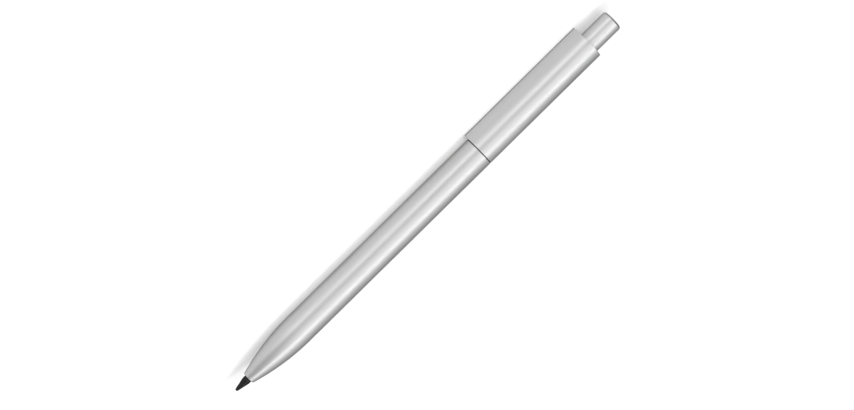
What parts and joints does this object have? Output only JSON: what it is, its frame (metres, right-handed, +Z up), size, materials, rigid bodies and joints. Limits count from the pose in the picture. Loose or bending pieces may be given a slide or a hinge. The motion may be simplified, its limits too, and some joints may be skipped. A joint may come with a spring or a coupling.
{
  "type": "inkless pencil",
  "caption": "Slim push-button inkless pencil in satin aluminium: ogive nose with a dark metal nib, screw-apart barrel, and a wrapped upper sleeve that runs off in a full-length flat clip.",
  "frame": {"origin": "on the desk under the axis, halfway between the nib's point and the end of the button", "axes": "+X along the pencil's axis towards the nib, +Z up from the desk it lies on, -Y towards the side the clip's flat faces"},
  "size_m": [0.14, 0.0088, 0.0088],
  "materials": {
    "satin_aluminium": "bead-blasted and clear anodised, satin",
    "graphite_alloy": "dark turned alloy, faintly shiny",
    "black_seal": "matt black",
    "black_anodised": "black anodised, satin",
    "brass": "turned brass",
    "cartridge_steel": "drawn stainless tube",
    "spring_steel": "bright spring wire",
    "black_plastic": "moulded, matt",
    "white_acetal": "moulded acetal, matt"
  },
  "bodies": {
    "upper": {"clip_sleeve": "satin_aluminium", "inner_tube": "black_anodised", "coupling": "brass", "top_collar": "black_anodised", "cam_guide": "white_acetal"},
    "seam": {"seam_ring": "black_seal"},
    "barrel": {"front_barrel": "satin_aluminium", "nose_bush": "brass", "thread_insert": "brass"},
    "button": {"push_button": "satin_aluminium", "plunger": "white_acetal"},
    "cartridge": {"nib": "graphite_alloy", "nib_holder": "brass", "cartridge_tube": "cartridge_steel", "cartridge_plug": "black_plastic", "return_spring": "spring_steel"},
    "cam": {"cam_rotor": "white_acetal"}
  },
  "joints": [
    {"name": "button_slide", "type": "slide", "parent": "upper", "child": "button", "axis": [1, 0, 0], "range_m": [-0.0051, 0.0012]},
    {"name": "cartridge_slide", "type": "slide", "parent": "upper", "child": "cartridge", "axis": [1, 0, 0], "range_m": [-0.0051, 0.0012], "deforming": ["return_spring"]},
    {"name": "cam_turn", "type": "hinge", "parent": "cartridge", "child": "cam", "pos_m": [-0.0343, 0, 0.0044], "axis": [1, 0, 0], "continuous": true},
    {"name": "barrel_turn", "type": "hinge", "parent": "upper", "child": "seam", "pos_m": [-0.0203, 0, 0.0044], "axis": [1, 0, 0], "range_deg": [0, 1800]},
    {"name": "barrel_slide", "type": "slide", "parent": "seam", "child": "barrel", "axis": [1, 0, 0], "range_m": [0, 0.004]}
  ],
  "couplings": [
    {"joint": "cartridge_slide", "follows": "button_slide", "ratio": 1},
    {"joint": "barrel_turn", "follows": "barrel_slide", "rad_per_m": 7853.9}
  ]
}
